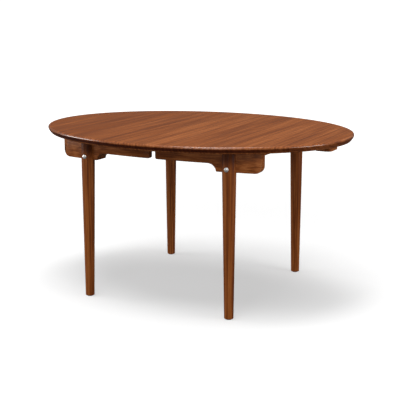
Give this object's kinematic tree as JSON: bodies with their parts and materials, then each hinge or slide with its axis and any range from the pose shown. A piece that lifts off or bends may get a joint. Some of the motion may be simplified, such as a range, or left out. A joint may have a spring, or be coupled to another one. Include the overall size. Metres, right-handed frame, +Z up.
{
  "type": "oval extension dining table",
  "caption": "Oval walnut dining table with bowed rails, turned bolted legs and a top that parts at its seam and pulls apart on a telescoping wooden runner.",
  "frame": {"origin": "on the floor, under the centre of the closed table", "axes": "+Z up; X along the table and along the pull of the extension, +X to the half that pulls out; +Y across the table to the back"},
  "size_m": [1.4, 1.06, 0.72],
  "materials": {
    "walnut_top": "oiled walnut, satin",
    "walnut_rail": "oiled walnut, satin",
    "walnut_leg": "oiled turned walnut, satin",
    "beech_block": "sawn beech, matt",
    "beech_runner": "planed and waxed beech",
    "bolt_steel": "satin stainless steel",
    "screw_steel": "zinc plated",
    "hardware_steel": "rolled steel, lightly polished",
    "glide_nylon": "dark nylon"
  },
  "bodies": {
    "left_half": {"top_left": "walnut_top", "rail_front_left": "walnut_rail", "rail_back_left": "walnut_rail", "end_rail_left": "walnut_rail", "leg_front_left": "walnut_leg", "leg_back_left": "walnut_leg", "leg_bolts_left": "bolt_steel", "barrel_nuts_left": "bolt_steel", "foot_glides_left": "glide_nylon", "corner_blocks_left": "walnut_rail", "fixing_blocks_left": "beech_block", "top_screws_left": "screw_steel", "runner_left": "walnut_rail", "bearer_left": "walnut_rail", "runner_screws_left": "screw_steel", "stop_plate_left": "hardware_steel", "lock_pivots": "hardware_steel"},
    "right_half": {"top_right": "walnut_top", "rail_front_right": "walnut_rail", "rail_back_right": "walnut_rail", "end_rail_right": "walnut_rail", "leg_front_right": "walnut_leg", "leg_back_right": "walnut_leg", "leg_bolts_right": "bolt_steel", "barrel_nuts_right": "bolt_steel", "foot_glides_right": "glide_nylon", "corner_blocks_right": "walnut_rail", "fixing_blocks_right": "beech_block", "top_screws_right": "screw_steel", "runner_right": "walnut_rail", "bearer_right": "walnut_rail", "runner_screws_right": "screw_steel", "stop_plate_right": "hardware_steel", "seam_dowels": "beech_runner", "lock_pins": "hardware_steel"},
    "middle_runner": {"runner_middle": "beech_runner", "stop_pins": "hardware_steel"},
    "lock_front": {"lock_hook_front": "hardware_steel"},
    "lock_back": {"lock_hook_back": "hardware_steel"}
  },
  "joints": [
    {"name": "extension_slide", "type": "slide", "parent": "left_half", "child": "right_half", "axis": [1, 0, 0], "range_m": [0, 1.2]},
    {"name": "middle_slide", "type": "slide", "parent": "left_half", "child": "middle_runner", "axis": [1, 0, 0], "range_m": [0, 0.6]},
    {"name": "lock_front_turn", "type": "hinge", "parent": "left_half", "child": "lock_front", "pos_m": [-0.045, -0.2, 0.6867], "axis": [0, 0, 1], "range_deg": [0, 90]},
    {"name": "lock_back_turn", "type": "hinge", "parent": "left_half", "child": "lock_back", "pos_m": [-0.045, 0.2, 0.6867], "axis": [0, 0, 1], "range_deg": [-90, 0]}
  ],
  "couplings": [
    {"joint": "middle_slide", "follows": "extension_slide", "ratio": 0.5}
  ]
}
